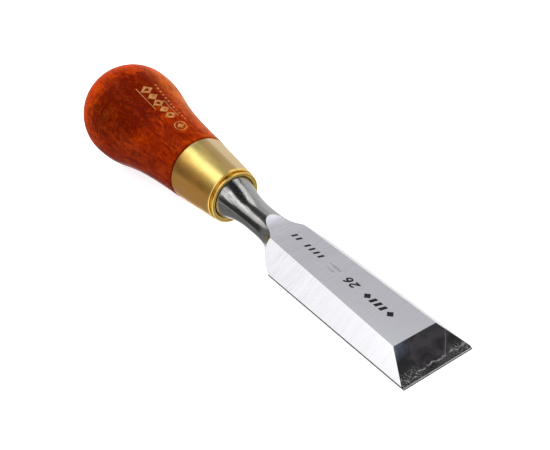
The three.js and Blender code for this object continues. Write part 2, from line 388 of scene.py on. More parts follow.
def tip_steel():
    """The tip bevel: coarse grinding whose dark colour is a painted dark reflection, with smears,
    scratches and specks toward the edge.
    """
    s = Shader("tip_steel", TOOL)
    cloud = s.noise(s.stretched(0.22, 0.16, 0), 4, 0.6, 0.6)
    grit = s.noise(s.stretched(1.9, 1.9, 0), 3, 0.7)
    fine = s.noise(s.stretched(6.5, 0.6, 0), 4, 0.6)
    ends = s.math("MAXIMUM", s.ramp(s.y, 3.0, 7.5), s.ramp(s.y, -5, -9, 0, 1.0))
    near_edge = s.math("MULTIPLY", s.ramp(s.x, 1.6, 4.0, 1, 0), s.math("MAXIMUM", ends, 0.15))
    specks = s.math("MULTIPLY", s.ramp(grit, 0.53, 0.60), near_edge)
    corner = s.math("MULTIPLY", s.ramp(s.x, 5.6, 8.4), s.ramp(s.y, 2.0, 6.5))
    blue = s.math("MULTIPLY", corner, s.ramp(cloud, 0.4, 0.6, 0.3, 1))
    wobble = s.ramp(s.noise(s.stretched(0.25, 0.25, 0), 4, 0.7), 0.2, 0.8, -0.7, 0.7)
    strength = s.ramp(s.noise(s.stretched(0.5, 0.5, 0, (3, 5, 0)), 3), 0.35, 0.6)
    smear_line = s.band(s.math("ADD", s.x, wobble), 1.95, 0.03, 0.22)
    smear = s.math("MULTIPLY", s.math("MULTIPLY", smear_line, strength), s.ramp(s.y, 9, 5))
    scratch_at = s.math("ADD", s.y, s.math("MULTIPLY", s.math("SUBTRACT", s.x, 1.7), 0.8))
    bent = s.math("ADD", scratch_at, s.ramp(s.x, 1.7, 6, 0, 0.9))
    scratch = s.math("MULTIPLY", s.band(bent, -3.9, 0.02, 0.16), s.ramp(s.x, 1.5, 1.9))
    scratch = s.math("MULTIPLY", scratch, s.ramp(s.x, 5, 8, 0.55, 0))
    marks = s.math("MAXIMUM", smear, s.math("MAXIMUM", scratch, specks))
    # The dark base colour is a painted dark reflection, clouded at random.
    dark = s.mix(s.ramp(cloud, 0.35, 0.65), (0.030, 0.028, 0.031), (0.075, 0.070, 0.075))
    tinted = s.mix(blue, dark, (0.16, 0.19, 0.26))
    colour = s.mix(s.math("MULTIPLY", marks, 0.7), tinted, (0.62, 0.61, 0.60))
    rough = s.math("ADD", s.ramp(cloud, 0.3, 0.7, 0.42, 0.30), s.math("MULTIPLY", marks, 0.25))
    return s.set(
        Base_Color=colour,
        Metallic=1.0,
        Roughness=rough,
        Normal=s.bump(fine, 0.00002, 0.35, s.bump(specks, 0.00003, 0.5)),
    )


def honed_steel():
    """The narrow honed strip along the cutting edge: bright where it meets the bevel."""
    s = Shader("honed_steel", TOOL)
    lines = s.noise(s.stretched(1.2, 7, 0), 4, 0.6)
    worn = s.mix(s.ramp(lines, 0.35, 0.65), (0.05, 0.05, 0.052), (0.12, 0.12, 0.122))
    bright = s.mix(s.ramp(lines, 0.35, 0.65), (0.40, 0.40, 0.41), (0.85, 0.85, 0.85))
    colour = s.mix(s.ramp(s.x, 0.16, 0.32), worn, bright)
    return s.set(Base_Color=colour, Metallic=1.0, Roughness=s.ramp(lines, 0.3, 0.7, 0.5, 0.3),
                 Normal=s.bump(lines, 0.00002, 0.4))


def side_land_steel():
    """The narrow side strips, lightly ground, with a dark colour that is a painted dark reflection of
    the shaded floor beside the blade.
    """
    s = Shader("side_land_steel", TOOL)
    lines = s.noise(s.stretched(0.25, 1, 4), 4, 0.6)
    # The dark colour is a painted dark reflection.
    colour = s.mix(s.ramp(lines, 0.3, 0.7), (0.12, 0.115, 0.11), (0.26, 0.25, 0.24))
    return s.set(Base_Color=colour, Metallic=1.0, Roughness=s.ramp(lines, 0.3, 0.7, 0.5, 0.34),
                 Normal=s.bump(lines, 0.00002, 0.3))


def satin_brass():
    """Turned brass: fine rings in the finish and cloudy patches, with lengthwise bands on the body of
    painted highlight, painted shade and painted pale reflection, and a painted shade in the groove.
    """
    s = Shader("satin_brass", HANDLE_AXIS)
    rings = s.noise(s.stretched(9, 0.25, 0.25), 4, 0.6)
    cloud = s.noise(s.stretched(0.16, 0.2, 0.2), 3, 0.55)
    tone = s.math("ADD", s.math("MULTIPLY", rings, 0.4), s.math("MULTIPLY", cloud, 0.6))
    radius = s.math("SQRT", s.math("ADD", s.math("MULTIPLY", s.y, s.y), s.math("MULTIPLY", s.z, s.z)))
    sheen = s.mix(s.ramp(tone, 0.36, 0.64), (0.80, 0.48, 0.10), (1.0, 0.74, 0.22))
    # Darker in the groove behind the bead: painted shade.
    groove_painted_shade = s.math(
        "MULTIPLY", s.ramp(radius, BEAD_RADIUS - 0.25, BEAD_RADIUS - 0.05, 1, 0),
        s.ramp(s.x, MOUTH + BEAD_ROUND, MOUTH + 1.6 * BEAD_ROUND))
    on_body = s.ramp(s.x, MOUTH + BODY_OFFSET, MOUTH + BODY_OFFSET + 0.8)
    # Painted light in lengthwise bands, set by y across the axis: a painted shade on the near flank, a
    # painted dark reflection by the middle line, a painted pale reflection on the far flank and a
    # painted highlight between the middle line and the near flank.
    painted_light_bands = (
        (s.ramp(s.y, 7.2, 9.4, 0, 0.85), (0.95, 0.45, 0.10)),
        (s.band(s.y, -0.2, 1.0, 2.4), (0.42, 0.28, 0.11)),
        (s.band(s.y, -5.0, 2.2, 2.6), (0.68, 0.51, 0.27)),
        (s.band(s.y, 4.5, 1.0, 2.2), (1.0, 0.79, 0.27)),
    )
    brass_with_painted_light = sheen
    for amount, painted_colour in painted_light_bands:
        brass_with_painted_light = s.mix(s.math("MULTIPLY", on_body, amount), brass_with_painted_light, painted_colour)
    colour = s.mix(s.math("MULTIPLY", groove_painted_shade, 0.3), brass_with_painted_light, (0.45, 0.30, 0.09))
    polished = s.ramp(s.x, MOUTH + BODY_OFFSET - 0.4, MOUTH + BODY_OFFSET + 0.1, -0.17, 0)
    return s.set(
        Base_Color=colour,
        Metallic=1.0,
        Roughness=s.math("ADD", s.ramp(tone, 0.35, 0.65, 0.43, 0.33), polished),
        Normal=s.bump(rings, 0.00001, 0.18),
    )


def stained_wood():
    """Red-brown stained hardwood: long grain, flecks and wisps, pale ring lines on the near flank, a
    painted shade on the middle of the bulb, a painted highlight on the far flank and a painted rim
    light toward the butt.
    """
    s = Shader("stained_wood", HANDLE_AXIS)
    grain = s.noise(s.stretched(0.06, 1.1, 1.1), 5, 0.62, 0.3)
    fine = s.noise(s.stretched(0.22, 5.0, 5.0), 4, 0.6)
    fleck_seed = s.noise(s.stretched(0.55, 3.2, 3.2, (7, 3, 1)), 2, 0.5)
    flecks = s.ramp(fleck_seed, 0.62, 0.74)
    blotch = s.noise(s.stretched(0.045, 0.085, 0.085, (3.1, 0.4, 2.2)), 4, 0.6, 0.5)
    base = s.mix(s.ramp(grain, 0.32, 0.68), (0.115, 0.0055, 0.0001), (0.24, 0.017, 0.0002))
    cloud = s.noise(s.stretched(0.15, 0.24, 0.24, (1.5, 0.2, 4.1)), 6, 0.68, 0.7)
    clouded = s.mix(s.ramp(cloud, 0.50, 0.68, 0, 0.5), base, (0.36, 0.048, 0.0005))
    # Random blotches, plus a painted shade round the middle of the bulb.
    blotches_and_painted_shade = s.math("ADD", s.near(PAINTED_SHADE_MIDDLE, 5, 19), s.math("MULTIPLY", blotch, 1.5))
    blotches_and_painted_shade = s.math("ADD", blotches_and_painted_shade, s.ramp(cloud, 0.35, 0.55, 0.35, 0))
    blotched_and_shaded = s.mix(s.ramp(blotches_and_painted_shade, 0.75, 1.45, 0, 0.85), clouded, (0.075, 0.0030, 0.0001))
    # A painted highlight on the upper far flank, broken up by the cloud.
    far_flank_highlight = s.math("MULTIPLY", s.ramp(s.y, 0, -12), s.ramp(cloud, 0.3, 0.6, 0.5, 1))
    far_flank_highlight = s.math("MULTIPLY", far_flank_highlight, s.ramp(s.z, -3, 6, 0.25, 0.85))
    highlighted = s.mix(far_flank_highlight, blotched_and_shaded, (0.45, 0.105, 0.012))
    # A painted rim light on the bulb toward the butt, to which glow adds random paler cloud.
    rim_light = s.math("MULTIPLY", s.ramp(s.x, 142, 154), s.ramp(s.x, 155, 161, 1, 0.15))
    glow = s.math("ADD", rim_light, s.ramp(cloud, 0.35, 0.65, 0, 0.6))
    clouded_and_rim_lit = s.mix(s.ramp(glow, 0.3, 1.4, 0, 0.85), highlighted, (0.37, 0.032, 0.0004))
    wisps = s.noise(s.stretched(0.35, 0.55, 0.55, (2, 6, 5)), 5, 0.72, 1.2)
    dark_wisps = s.mix(s.ramp(wisps, 0.52, 0.64, 0, 0.55), clouded_and_rim_lit, (0.06, 0.0030, 0.0001))
    streaks = s.noise(s.stretched(0.22, 1.9, 1.9, (4, 1, 8)), 4, 0.65, 0.9)
    streaked = s.mix(s.ramp(streaks, 0.54, 0.62, 0, 0.35), dark_wisps, (0.05, 0.0025, 0.0001))
    bright_wisps = s.mix(s.ramp(wisps, 0.46, 0.34, 0, 0.16), streaked, (0.42, 0.060, 0.0006))
    lined = s.mix(s.ramp(fine, 0.50, 0.66, 0, 0.55), bright_wisps, (0.045, 0.0020, 0.0001))
    rings = s.noise(s.stretched(2.4, 0.16, 0.16), 3, 0.6)
    near_flank = s.math("MULTIPLY", s.ramp(s.y, 9, 16), s.ramp(rings, 0.48, 0.66, 0, 0.22))
    near_flank = s.math("MULTIPLY", near_flank, s.ramp(blotch, 0.4, 0.55))
    turned_wood = s.mix(near_flank, lined, (0.34, 0.085, 0.012))
    colour = s.mix(s.math("MULTIPLY", flecks, 0.2), turned_wood, (0.42, 0.12, 0.02))
    return s.set(
        Base_Color=colour,
        Roughness=s.ramp(grain, 0.3, 0.7, 0.34, 0.26),
        Specular_IOR_Level=0.012,
        Normal=s.bump(grain, 0.00006, 0.25, s.bump(fine, 0.00003, 0.25)),
    )


def black_etch():
    s = Shader("black_etch", TOOL)
    grit = s.noise(s.stretched(5, 5, 5), 3)
    colour = s.mix(s.ramp(grit, 0.4, 0.65), (0.004, 0.004, 0.005), (0.018, 0.018, 0.022))
    return s.set(Base_Color=colour, Roughness=s.ramp(grit, 0.3, 0.7, 0.6, 0.45),
                 Specular_IOR_Level=0.05)


def grey_etch():
    s = Shader("grey_etch", TOOL)
    grit = s.noise(s.stretched(3, 3, 3), 3)
    colour = s.mix(s.ramp(grit, 0.4, 0.62), (0.03, 0.03, 0.035), (0.20, 0.20, 0.22))
    return s.set(Base_Color=colour, Roughness=s.ramp(grit, 0.3, 0.7, 0.6, 0.45),
                 Specular_IOR_Level=0.3)


def gold_print():
    """Gold foil stamped in the lacquer, worn thin in places."""
    s = Shader("gold_print", HANDLE_AXIS)
    wear = s.noise(s.stretched(1.1, 1.1, 1.1), 4, 0.7)
    colour = s.mix(s.ramp(wear, 0.40, 0.62), (0.30, 0.150, 0.052), (0.20, 0.055, 0.008))
    return s.set(Base_Color=colour, Roughness=s.ramp(wear, 0.3, 0.7, 0.35, 0.5),
                 Specular_IOR_Level=0.1)


# ---- The blade ----

def face_height(x):
    return THICKNESS_AT_EDGE + THICKNESS_TAPER * x


def top_height(x):
    """Height of the ground top: honed strip, tip bevel, top face and its run-out."""
    honed_x = HONED_LENGTH * math.cos(HONED_BEVEL)
    if x <= honed_x:
        return x * math.tan(HONED_BEVEL)
    tip = HONED_LENGTH * math.sin(HONED_BEVEL) + (x - honed_x) * math.tan(TIP_BEVEL)
    flat = face_height(min(x, FACE_END))
    if x >= FACE_END + FACE_RUN_OUT:
        return UNCUT
    if x > FACE_END:
        along = x - FACE_END
        flat += FACE_RUN_OUT - math.sqrt(FACE_RUN_OUT ** 2 - along ** 2)
    return min(tip, flat)


def back_height(x):
    """Height of the flat back, which runs out below the neck."""
    if x >= BACK_END + BACK_RUN_OUT:
        return -UNCUT
    along = max(x - BACK_END, 0)
    return math.sqrt(BACK_RUN_OUT ** 2 - along ** 2) - BACK_RUN_OUT


def shoulder_curve(start, end):
    """The shoulder's outline from above or from the side, from the blade in to the neck."""
    return cubic_bezier(
        (FULL_WIDTH_END, start),
        (FULL_WIDTH_END + SHOULDER_REACH, start - SHOULDER_REACH * SHOULDER_SLOPE),
        (NECK_START - NECK_REACH, end),
        (NECK_START, end),
        np.linspace(0, 1, CURVE_SAMPLES),
    )


SHOULDER_WIDTHS = shoulder_curve(SHOULDER_WIDTH, NECK_WIDTH)
SHOULDER_HEIGHTS = shoulder_curve(SHOULDER_HEIGHT, NECK_HEIGHT)


def forging_size(x, curve, neck):
    """Half the width or height of the oval forging, before it is ground."""
    if x < FULL_WIDTH_END:
        return UNCUT
    if x < NECK_START:
        return float(np.interp(x, curve[:, 0], curve[:, 1]))
    share = max(x - FLARE_START, 0) / (MOUTH - FLARE_START)
    return min(neck + (BOLSTER_RADIUS - neck) * share ** 2, BOLSTER_RADIUS)


def half_width(x):
    return forging_size(x, SHOULDER_WIDTHS, NECK_WIDTH)


def half_height(x):
    return forging_size(x, SHOULDER_HEIGHTS, NECK_HEIGHT)


def axis_height(x):
    return AXIS_HEIGHT_AT_EDGE + AXIS_SLOPE * x


# The parts of half a section, from the middle of the top to the middle of the back, and the
# steps that each is divided into. Four straight parts alternate with the arcs between them.
PARTS = (("top", 10), ("round", 14), ("bevel", 10), ("round", 22), ("land", 3), ("round", 40),
         ("back", 10))


def half_section(x):
    """One side of the blade's section at x, from the top to the back, as (y, z) points.

    The section is an oval cut by four straight lines, and a part that isn't there shrinks to a
    point. The work is done in a frame where the oval is a circle of radius 1.
    """
    wide, high = half_width(x), half_height(x)
    centre = top_height(x) / 2 if x < FULL_WIDTH_END else axis_height(x)
    bevel_reach = math.cos(SIDE_BEVEL) * SIDE_LAND + math.sin(SIDE_BEVEL) * BLADE_WIDTH / 2
    if x > NECK_START:
        bevel_reach = UNCUT
    lines = []
    for ny, nz, reach in (
        (0, 1, top_height(x)),
        (math.sin(SIDE_BEVEL), math.cos(SIDE_BEVEL), bevel_reach),
        (1, 0, BLADE_WIDTH / 2),
        (0, -1, -back_height(x)),
    ):
        normal = np.array([ny * wide, nz * high])
        size = np.linalg.norm(normal)
        lines.append((normal / size, (reach - nz * centre) / size))
    chords = []
    for i, (normal, reach) in enumerate(lines):
        if reach >= 1:
            chords.append(None)
            continue
        along = np.array([normal[1], -normal[0]])
        half = math.sqrt(1 - reach ** 2)
        start = 0 if i == 0 else -half
        stop = 0 if i == 3 else half
        for j, (other, other_reach) in enumerate(lines):
            if i == j:
                continue
            slope = other @ along
            room = other_reach - reach * (other @ normal)
            if abs(slope) < TINY:
                continue
            if slope > 0:
                stop = min(stop, room / slope)
            else:
                start = max(start, room / slope)
        if stop - start < TINY:
            chords.append(None)
        else:
            chords.append((reach * normal + start * along, reach * normal + stop * along))

    def angle(point):
        return math.atan2(point[0], point[1])

    def on_disc(turn):
        return np.array([math.sin(turn), math.cos(turn)])

    points = []
    here = chords[0][0] if chords[0] else np.array([0.0, 1.0])
    for k, (_, steps) in enumerate(PARTS):
        if k % 2 == 0:
            chord = chords[k // 2]
            start, end = chord if chord else (here, here)
            for t in np.linspace(0, 1, steps + 1)[:-1]:
                points.append(start + (end - start) * t)
            here = end
            continue
        later = [c for c in chords[(k + 1) // 2:] if c]
        target = later[0][0] if later else np.array([0.0, -1.0])
        if np.linalg.norm(target - here) < TINY:
            points.extend([here] * steps)
            here = target
            continue
        stop = angle(target)
        if not chords[(k + 1) // 2]:
            normal = lines[(k + 1) // 2][0]
            stop = min(max(angle(normal), angle(here)), stop)
        for turn in np.linspace(angle(here), stop, steps + 1)[:-1]:
            points.append(on_disc(turn))
        here = on_disc(stop)
    points.append(here)
    return [(p[0] * wide, p[1] * high + centre) for p in points]


def crossing(test, low, high):
    """Where test changes from false to true between low and high."""
    for _ in range(HALVINGS):
        middle = (low + high) / 2
        if test(middle):
            high = middle
        else:
            low = middle
    return (low + high) / 2


def section_places():
    """Sections close together where the outlines curve, and at each corner."""
    honed_x = HONED_LENGTH * math.cos(HONED_BEVEL)
    tip_top = crossing(lambda x: top_height(x) >= face_height(x), 0, FULL_WIDTH_END)
    land_top = crossing(lambda x: top_height(x) >= SIDE_LAND, 0, tip_top)
    face_apex = crossing(lambda x: top_height(x) >= axis_height(x) + half_height(x),
                         FACE_END, FACE_END + FACE_RUN_OUT)
    back_apex = crossing(lambda x: back_height(x) <= axis_height(x) - half_height(x),
                         BACK_END, BACK_END + BACK_RUN_OUT)
    places = [0, honed_x, land_top, tip_top]
    places += list(np.linspace(tip_top, FULL_WIDTH_END - JUST_BEFORE, STRAIGHT_SECTIONS))
    places += list(np.arange(FULL_WIDTH_END, BOLSTER_END, SECTION_STEP))
    for apex, start in ((face_apex, FACE_END), (back_apex, BACK_END)):
        places += [apex - (apex - start) * t ** 2 for t in np.linspace(0, 1, APEX_SECTIONS)]
    places += [NECK_START, FLARE_START, MOUTH, BOLSTER_END]
    return sorted(set(round(float(p), 5) for p in places))


def blade_material(part, x):
    """The name of the steel on a part of the section at x."""
    if part == "top":
        if x < HONED_LENGTH * math.cos(HONED_BEVEL):
            return "honed"
        on_bevel = x < FULL_WIDTH_END and top_height(x) < face_height(x)
        return "tip" if on_bevel else "face"
    return {"bevel": "bevel", "round": "forged", "land": "land", "back": "face"}[part]


def squared(half, x, width):
    """The section's points pushed onto a square round the axis at x."""
    centre = axis_height(BOLSTER_END)
    square = []
    for y, z in half:
        share = width / 2 / max(abs(y), abs(z - centre))
        square.append((y * share, (z - centre) * share + axis_height(x)))
    return square


def make_blade():
    """Blade, neck, bolster and tang in one forging."""
    materials = {
        "face": ground_steel("face_steel", (0.925, 0.92, 1.0), 0.67, 0.56, (0.13, 0.22), 3.0, 0.12),
        "bevel": ground_steel("bevel_steel", (0.945, 0.945, 0.985), 0.73, 0.69, (0.14, 0.24), 2.2, 0),
        "tip": tip_steel(),
        "honed": honed_steel(),
        "forged": forged_steel(),
        "land": side_land_steel(),
    }
    order = list(materials)
    parts = [name for name, steps in PARTS for _ in range(steps)]
    places = section_places()
    halves = [half_section(x) for x in places]
    bolster_half = halves[-1]
    for x, width in ((BOLSTER_END, TANG_WIDTH), (TANG_END, TANG_TIP_WIDTH)):
        places.append(x)
        halves.append(squared(bolster_half, x, width))
    vertices = []
    for x, half in zip(places, halves):
        vertices += [(x, y, z) for y, z in half] + [(x, -y, z) for y, z in half[-2:0:-1]]
    ring_size = 2 * len(halves[0]) - 2
    ring_parts = parts + parts[::-1]
    faces = []
    indices = []
    for i in range(len(places) - 1):
        middle = (places[i] + places[i + 1]) / 2
        for k in range(ring_size):
            n = (k + 1) % ring_size
            a, b = i * ring_size, (i + 1) * ring_size
            faces.append((a + k, a + n, b + n, b + k))
            indices.append(order.index(blade_material(ring_parts[k], middle)))
    faces.append(tuple(range(len(vertices) - ring_size, len(vertices))))
    indices.append(order.index("forged"))
    blade = add_piece("blade_steel", vertices, faces)
    blade.data.polygons.foreach_set("material_index", indices)
    for material in materials.values():
        blade.data.materials.append(material)
    finish_piece(blade, TOOL, "blade", sharp_angle=12)


# ---- The ferrule ----

def ferrule_outside(x):
    share = (x - MOUTH - BODY_OFFSET) / (FERRULE_END - MOUTH - BODY_OFFSET)
    return FERRULE_FRONT_RADIUS + (FERRULE_BACK_RADIUS - FERRULE_FRONT_RADIUS) * share


def make_ferrule():
    """A drawn cup: bead round the mouth, a groove behind it, then the tapered body."""
    mouth_edge = MOUTH + MOUTH_SLOPE
    floor_back = MOUTH + CUP_FLOOR
    body_start = MOUTH + BODY_OFFSET
    rim_start = FERRULE_END - RIM_ROUND
    profile = [(mouth_edge, MOUTH_RADIUS)]
    profile += arc_points(MOUTH + BEAD_ROUND, BEAD_RADIUS - BEAD_ROUND, BEAD_ROUND, 180, 0, 14)
    groove_size = (body_start - FRONT_ROUND - MOUTH - 2 * BEAD_ROUND) / 2
    groove_middle = MOUTH + 2 * BEAD_ROUND + groove_size
    groove_height = BEAD_RADIUS - BEAD_ROUND - GROOVE_DEPTH
    profile += arc_points(groove_middle, groove_height, groove_size, 180, 360, 12)
    profile += arc_points(body_start, FERRULE_FRONT_RADIUS - FRONT_ROUND, FRONT_ROUND, 180, 90, 8)[1:]
    for x in np.linspace(body_start, rim_start, 12)[1:-1]:
        profile.append((x, ferrule_outside(x)))
    profile += arc_points(rim_start, ferrule_outside(rim_start) - RIM_ROUND, RIM_ROUND, 90, 0, 6)
    profile += [
        (FERRULE_END, ferrule_outside(FERRULE_END) - FERRULE_WALL),
        (floor_back, ferrule_outside(floor_back) - FERRULE_WALL),
        (floor_back, MOUTH_RADIUS),
    ]
    ferrule = turned("ferrule_cup", profile)
    ferrule.data.materials.append(satin_brass())
    finish_piece(ferrule, HANDLE_AXIS, "ferrule", sharp_angle=35)


# ---- The handle ----

def waist_points():
    shoulder = FERRULE_END + FIT_GAP + WOOD_CHAMFER
    return cubic_bezier(
        (shoulder, WAIST_RADIUS),
        (shoulder + WAIST_REACH, WAIST_RADIUS + WAIST_RISE),
        (BULB - BULB_REACH, BULB_RADIUS),
        (BULB, BULB_RADIUS),
        np.linspace(0, 1, 64),
    )


WAIST = waist_points()


def handle_radius(x):
    """Radius of the handle's outside, from the shoulder to the butt."""
    if x <= BULB:
        return float(np.interp(x, WAIST[:, 0], WAIST[:, 1]))
    share = min((x - BULB) / (BUTT - BULB), 1)
    return BULB_RADIUS * math.sqrt(1 - share ** 2)


def make_handle():
    """The turned wood, with a seat in the ferrule and a round bore for the tang."""
    shoulder = FERRULE_END + FIT_GAP
    bore = TANG_WIDTH / math.sqrt(2) + FIT_GAP
    bore_tip = TANG_TIP_WIDTH / math.sqrt(2) + FIT_GAP
    profile = [
        (TANG_END + END_GAP, 0),
        (TANG_END + END_GAP, bore_tip),
        (WOOD_FRONT, bore),
        (WOOD_FRONT, ferrule_outside(WOOD_FRONT) - FERRULE_WALL - FIT_GAP),
        (shoulder, ferrule_outside(shoulder) - FERRULE_WALL - FIT_GAP),
        (shoulder, WAIST_RADIUS - WOOD_CHAMFER),
    ]
    profile += [tuple(p) for p in WAIST]
    for angle in np.linspace(0, math.pi / 2, 40)[1:-1]:
        profile.append((BULB + (BUTT - BULB) * math.sin(angle), BULB_RADIUS * math.cos(angle)))
    profile.append((BUTT, 0))
    handle = turned("handle_wood", profile)
    handle.data.materials.append(stained_wood())
    finish_piece(handle, HANDLE_AXIS, "handle", sharp_angle=35)


# ---- Marks ----

def on_face(x, y, lift):
    """A point on the top face."""
    return (x, y, face_height(x) + lift)


def on_handle(x, degrees, lift):
    """A point on the handle, by its angle from the top line toward the near side."""
    radius = handle_radius(x) + lift
    angle = math.radians(degrees)
    return (x, radius * math.sin(angle), radius * math.cos(angle))


LOZENGE, OVAL = 1, 2  # powers of an outline


def super_loop(middle, half_u, half_v, power, steps):
    """A closed outline round the middle, by its power."""
    points = []
    for angle in np.linspace(0, 2 * math.pi, steps + 1)[:-1]:
        across, along = math.cos(angle), math.sin(angle)
        points.append((
            middle[0] + half_u * math.copysign(abs(across) ** (2 / power), across),
            middle[1] + half_v * math.copysign(abs(along) ** (2 / power), along),
        ))
    return points


def oval_arc(middle, half_u, half_v, from_angle, to_angle, steps=16):
    """Points on an oval, by angles from its right end."""
    angles = np.radians(np.linspace(from_angle, to_angle, steps + 1))
    return [(middle[0] + half_u * math.cos(a), middle[1] + half_v * math.sin(a)) for a in angles]


# The numerals' strokes in a unit box, and how wide a stroke is drawn.
NUMERAL_WEIGHT = 0.58
TWO = (
    oval_arc((0.5, 0.70), 0.38, 0.26, 165, -40) + [(0.14, 0.06)],
    [(0.0, 0.07), (0.96, 0.07)],
)
SIX = (
    oval_arc((0.5, 0.31), 0.38, 0.26, 0, 360),
    oval_arc((0.72, 0.36), 0.60, 0.58, 180, 85),
)


class Marks:
    """Thin closed slabs on a surface, gathered into one piece.

    Places are (u, v): u runs along the tool in millimetres, and v across it, in millimetres on
    the face and in degrees on the handle.
    """

    def __init__(self, surface):
        self.surface = surface
        self.vertices = []
        self.faces = []

    def slab(self, rows, closed=False):
        """A slab over rows of places. In a closed one the last row meets the first."""
        first, across, count = len(self.vertices), len(rows[0]), len(rows)
        for lift in (MARK_LIFT, -MARK_DEPTH):
            for row in rows:
                self.vertices += [self.surface(u, v, lift) for u, v in row]

        def at(i, j, layer):
            return first + layer * count * across + (i % count) * across + j

        for i in range(count if closed else count - 1):
            for j in range(across - 1):
                self.faces.append((at(i, j, 0), at(i + 1, j, 0), at(i + 1, j + 1, 0), at(i, j + 1, 0)))
                self.faces.append((at(i, j, 1), at(i, j + 1, 1), at(i + 1, j + 1, 1), at(i + 1, j, 1)))
            for j in (0, across - 1):
                self.faces.append((at(i, j, 0), at(i, j, 1), at(i + 1, j, 1), at(i + 1, j, 0)))
        if not closed:
            for i in (0, count - 1):
                for j in range(across - 1):
                    self.faces.append((at(i, j, 0), at(i, j + 1, 0), at(i, j + 1, 1), at(i, j, 1)))

    def patch(self, corners, steps=6):
        """A four-cornered mark."""
        a, b, c, d = (np.array(corner, float) for corner in corners)
        rows = []
        for t in np.linspace(0, 1, steps + 1):
            start, end = a + (d - a) * t, b + (c - b) * t
            rows.append([start + (end - start) * k for k in np.linspace(0, 1, steps + 1)])
        self.slab(rows)

    def bar(self, u, v, length, height, lean=0.0):
        """An upright or leaning bar, from its lower corner."""
        self.patch(((u, v), (u + length, v), (u + length + lean, v + height), (u + lean, v + height)))

    def lozenge(self, u, v, half_u, half_v):
        self.patch(((u - half_u, v), (u, v - half_v), (u + half_u, v), (u, v + half_v)))

    def outline(self, u, v, half_u, half_v, power, inner):
        """A lozenge's or an oval's outline, hollow up to the inner share of its size."""
        rows = []
        for point in super_loop((u, v), half_u, half_v, power, 48):
            middle = np.array((u, v))
            rows.append([point, middle + (np.array(point) - middle) * inner])
        self.slab(rows, closed=True)

    def stroke(self, points, weight):
        """A line of even width along the points."""
        points = [np.array(point, float) for point in points]
        rows = []
        for k, point in enumerate(points):
            along = points[min(k + 1, len(points) - 1)] - points[max(k - 1, 0)]
            side = np.array((-along[1], along[0])) / np.linalg.norm(along) * weight / 2
            rows.append([point - side, point + side])
        self.slab(rows)

    def numeral(self, strokes, u, v, length, height, lean):
        """A numeral from strokes in a unit box, fitted to its place."""
        for stroke in strokes:
            self.stroke([(u + a * length + b * lean, v + b * height) for a, b in stroke],
                        NUMERAL_WEIGHT)

    def finish(self, name, matrix, material):
        piece = add_piece(name, self.vertices, self.faces)
        piece.data.materials.append(material)
        finish_piece(piece, matrix)


def make_face_marks():
    """Etched on the top face: a size number and plain ornaments."""
    marks = Marks(on_face)
    for u in (18.4, 27.0):
        marks.lozenge(u, 0, 1.15, 1.3)
    for k in range(3):
        marks.bar(20.3 + 1.85 * k, -1.2, 1.05, 2.4, 0.5)
    for numeral, u in ((TWO, 31.0), (SIX, 33.5)):
        marks.numeral(numeral, u, -1.4, 1.8, 2.7, 0.55)
    for start, count in ((46.0, 4), (55.7, 2)):
        for k in range(count):
            marks.bar(start + 1.95 * k, -1.6, 0.8, 2.0, 0.45)
    marks.finish("face_marks", TOOL, black_etch())
    fine = Marks(on_face)
    for v, start, end in ((-1.0, 38.4, 43.2), (0.85, 39.2, 42.3)):
        fine.bar(start, v, end - start, 0.16)
        fine.bar(start + 0.3, v + 0.42, (end - start) * 0.6, 0.12)
    fine.finish("face_fine_lines", TOOL, grey_etch())


def make_gold_print():
    """Stamped on the handle: a row of lozenges between thin rules, and one in a ring."""
    marks = Marks(on_handle)
    row_start, row_step, row_middle = 122.3, 3.6, 7.5
    for k in range(5):
        u = row_start + row_step * k
        if k % 2:
            marks.lozenge(u, row_middle, 1.6, 7.4)
        else:
            marks.outline(u, row_middle, 1.85, 8.6, LOZENGE, 0.42)
    ring_u, ring_v = 115.8, 8.5
    marks.outline(ring_u, ring_v, 2.4, 9.5, OVAL, 0.84)
    marks.lozenge(ring_u, ring_v, 1.35, 5.6)
    marks.bar(127.5, 17.0, 11.4, 1.0)
    marks.bar(120.4, -2.6, 9.5, 0.9)
    for k in range(12):
        marks.lozenge(118.6 + 1.75 * k, -7.4, 0.45, 1.9)
    marks.finish("gold_print", HANDLE_AXIS, gold_print())


# ---- The studio ----

CAMERA_AZIMUTH = math.radians(50.24)
CAMERA_ELEVATION = math.radians(30.76)
CAMERA_ROLL = math.radians(1.61)
CAMERA_DISTANCE = 0.22
CAMERA_TARGET = Vector((0.0259, -0.0079, 0.0178))
LENS = 51.25
SENSOR_WIDTH = 36
NEAREST_SEEN = 0.005

FLOOR_REACH = 30
FLOOR_DROP = 0.00005  # so that the floor doesn't cut the tool
FLOOR_GLOW = 0.85
SKY_STRENGTH = 0.55
DOME_RADIUS = 1.5

# What the steel sees around it: panels painted over each other, each from one azimuth and
# elevation to another, in degrees, with the softness of its edges and its brightness.
PANELS = (
    ("floor", -200, 200, -95, -6, 8, 1.20),
    ("floor_ahead", 80, 200, -80, -14, 8, 0.40),
    ("floor_behind", -200, -122, -80, -14, 8, 0.93),
    ("walls", -200, 200, -2, 46, 8, 0.80),
    ("back_left_wall", -200, -122, -14, 41, 8, 0.95),
    ("back_left_shade", -200, -122, 37, 50, 6, 0.74),
    ("back_left_panel", -200, -128, 50, 70, 5, 1.8),
    ("back_right_panel", 116, 200, 54, 70, 6, 1.5),
    ("near_left_flag", -96, -44, -50, 37, 10, 0.30),
    ("near_flag", -50, -3, -8, 36, 8, 0.07),
    ("near_left_floor", -100, -3, -60, -10, 8, 0.32),
    ("key_strip", -74, 18, 41, 68, 6, 1.35),
    ("key_core", -74, 18, 54, 68, 5, 2.1),
    ("key_low", -14, 18, 24, 46, 8, 1.6),
    ("overhead", -200, 200, 72, 95, 5, 0.04),
)
FULL_TURN = 360  # a panel at least this wide goes all round
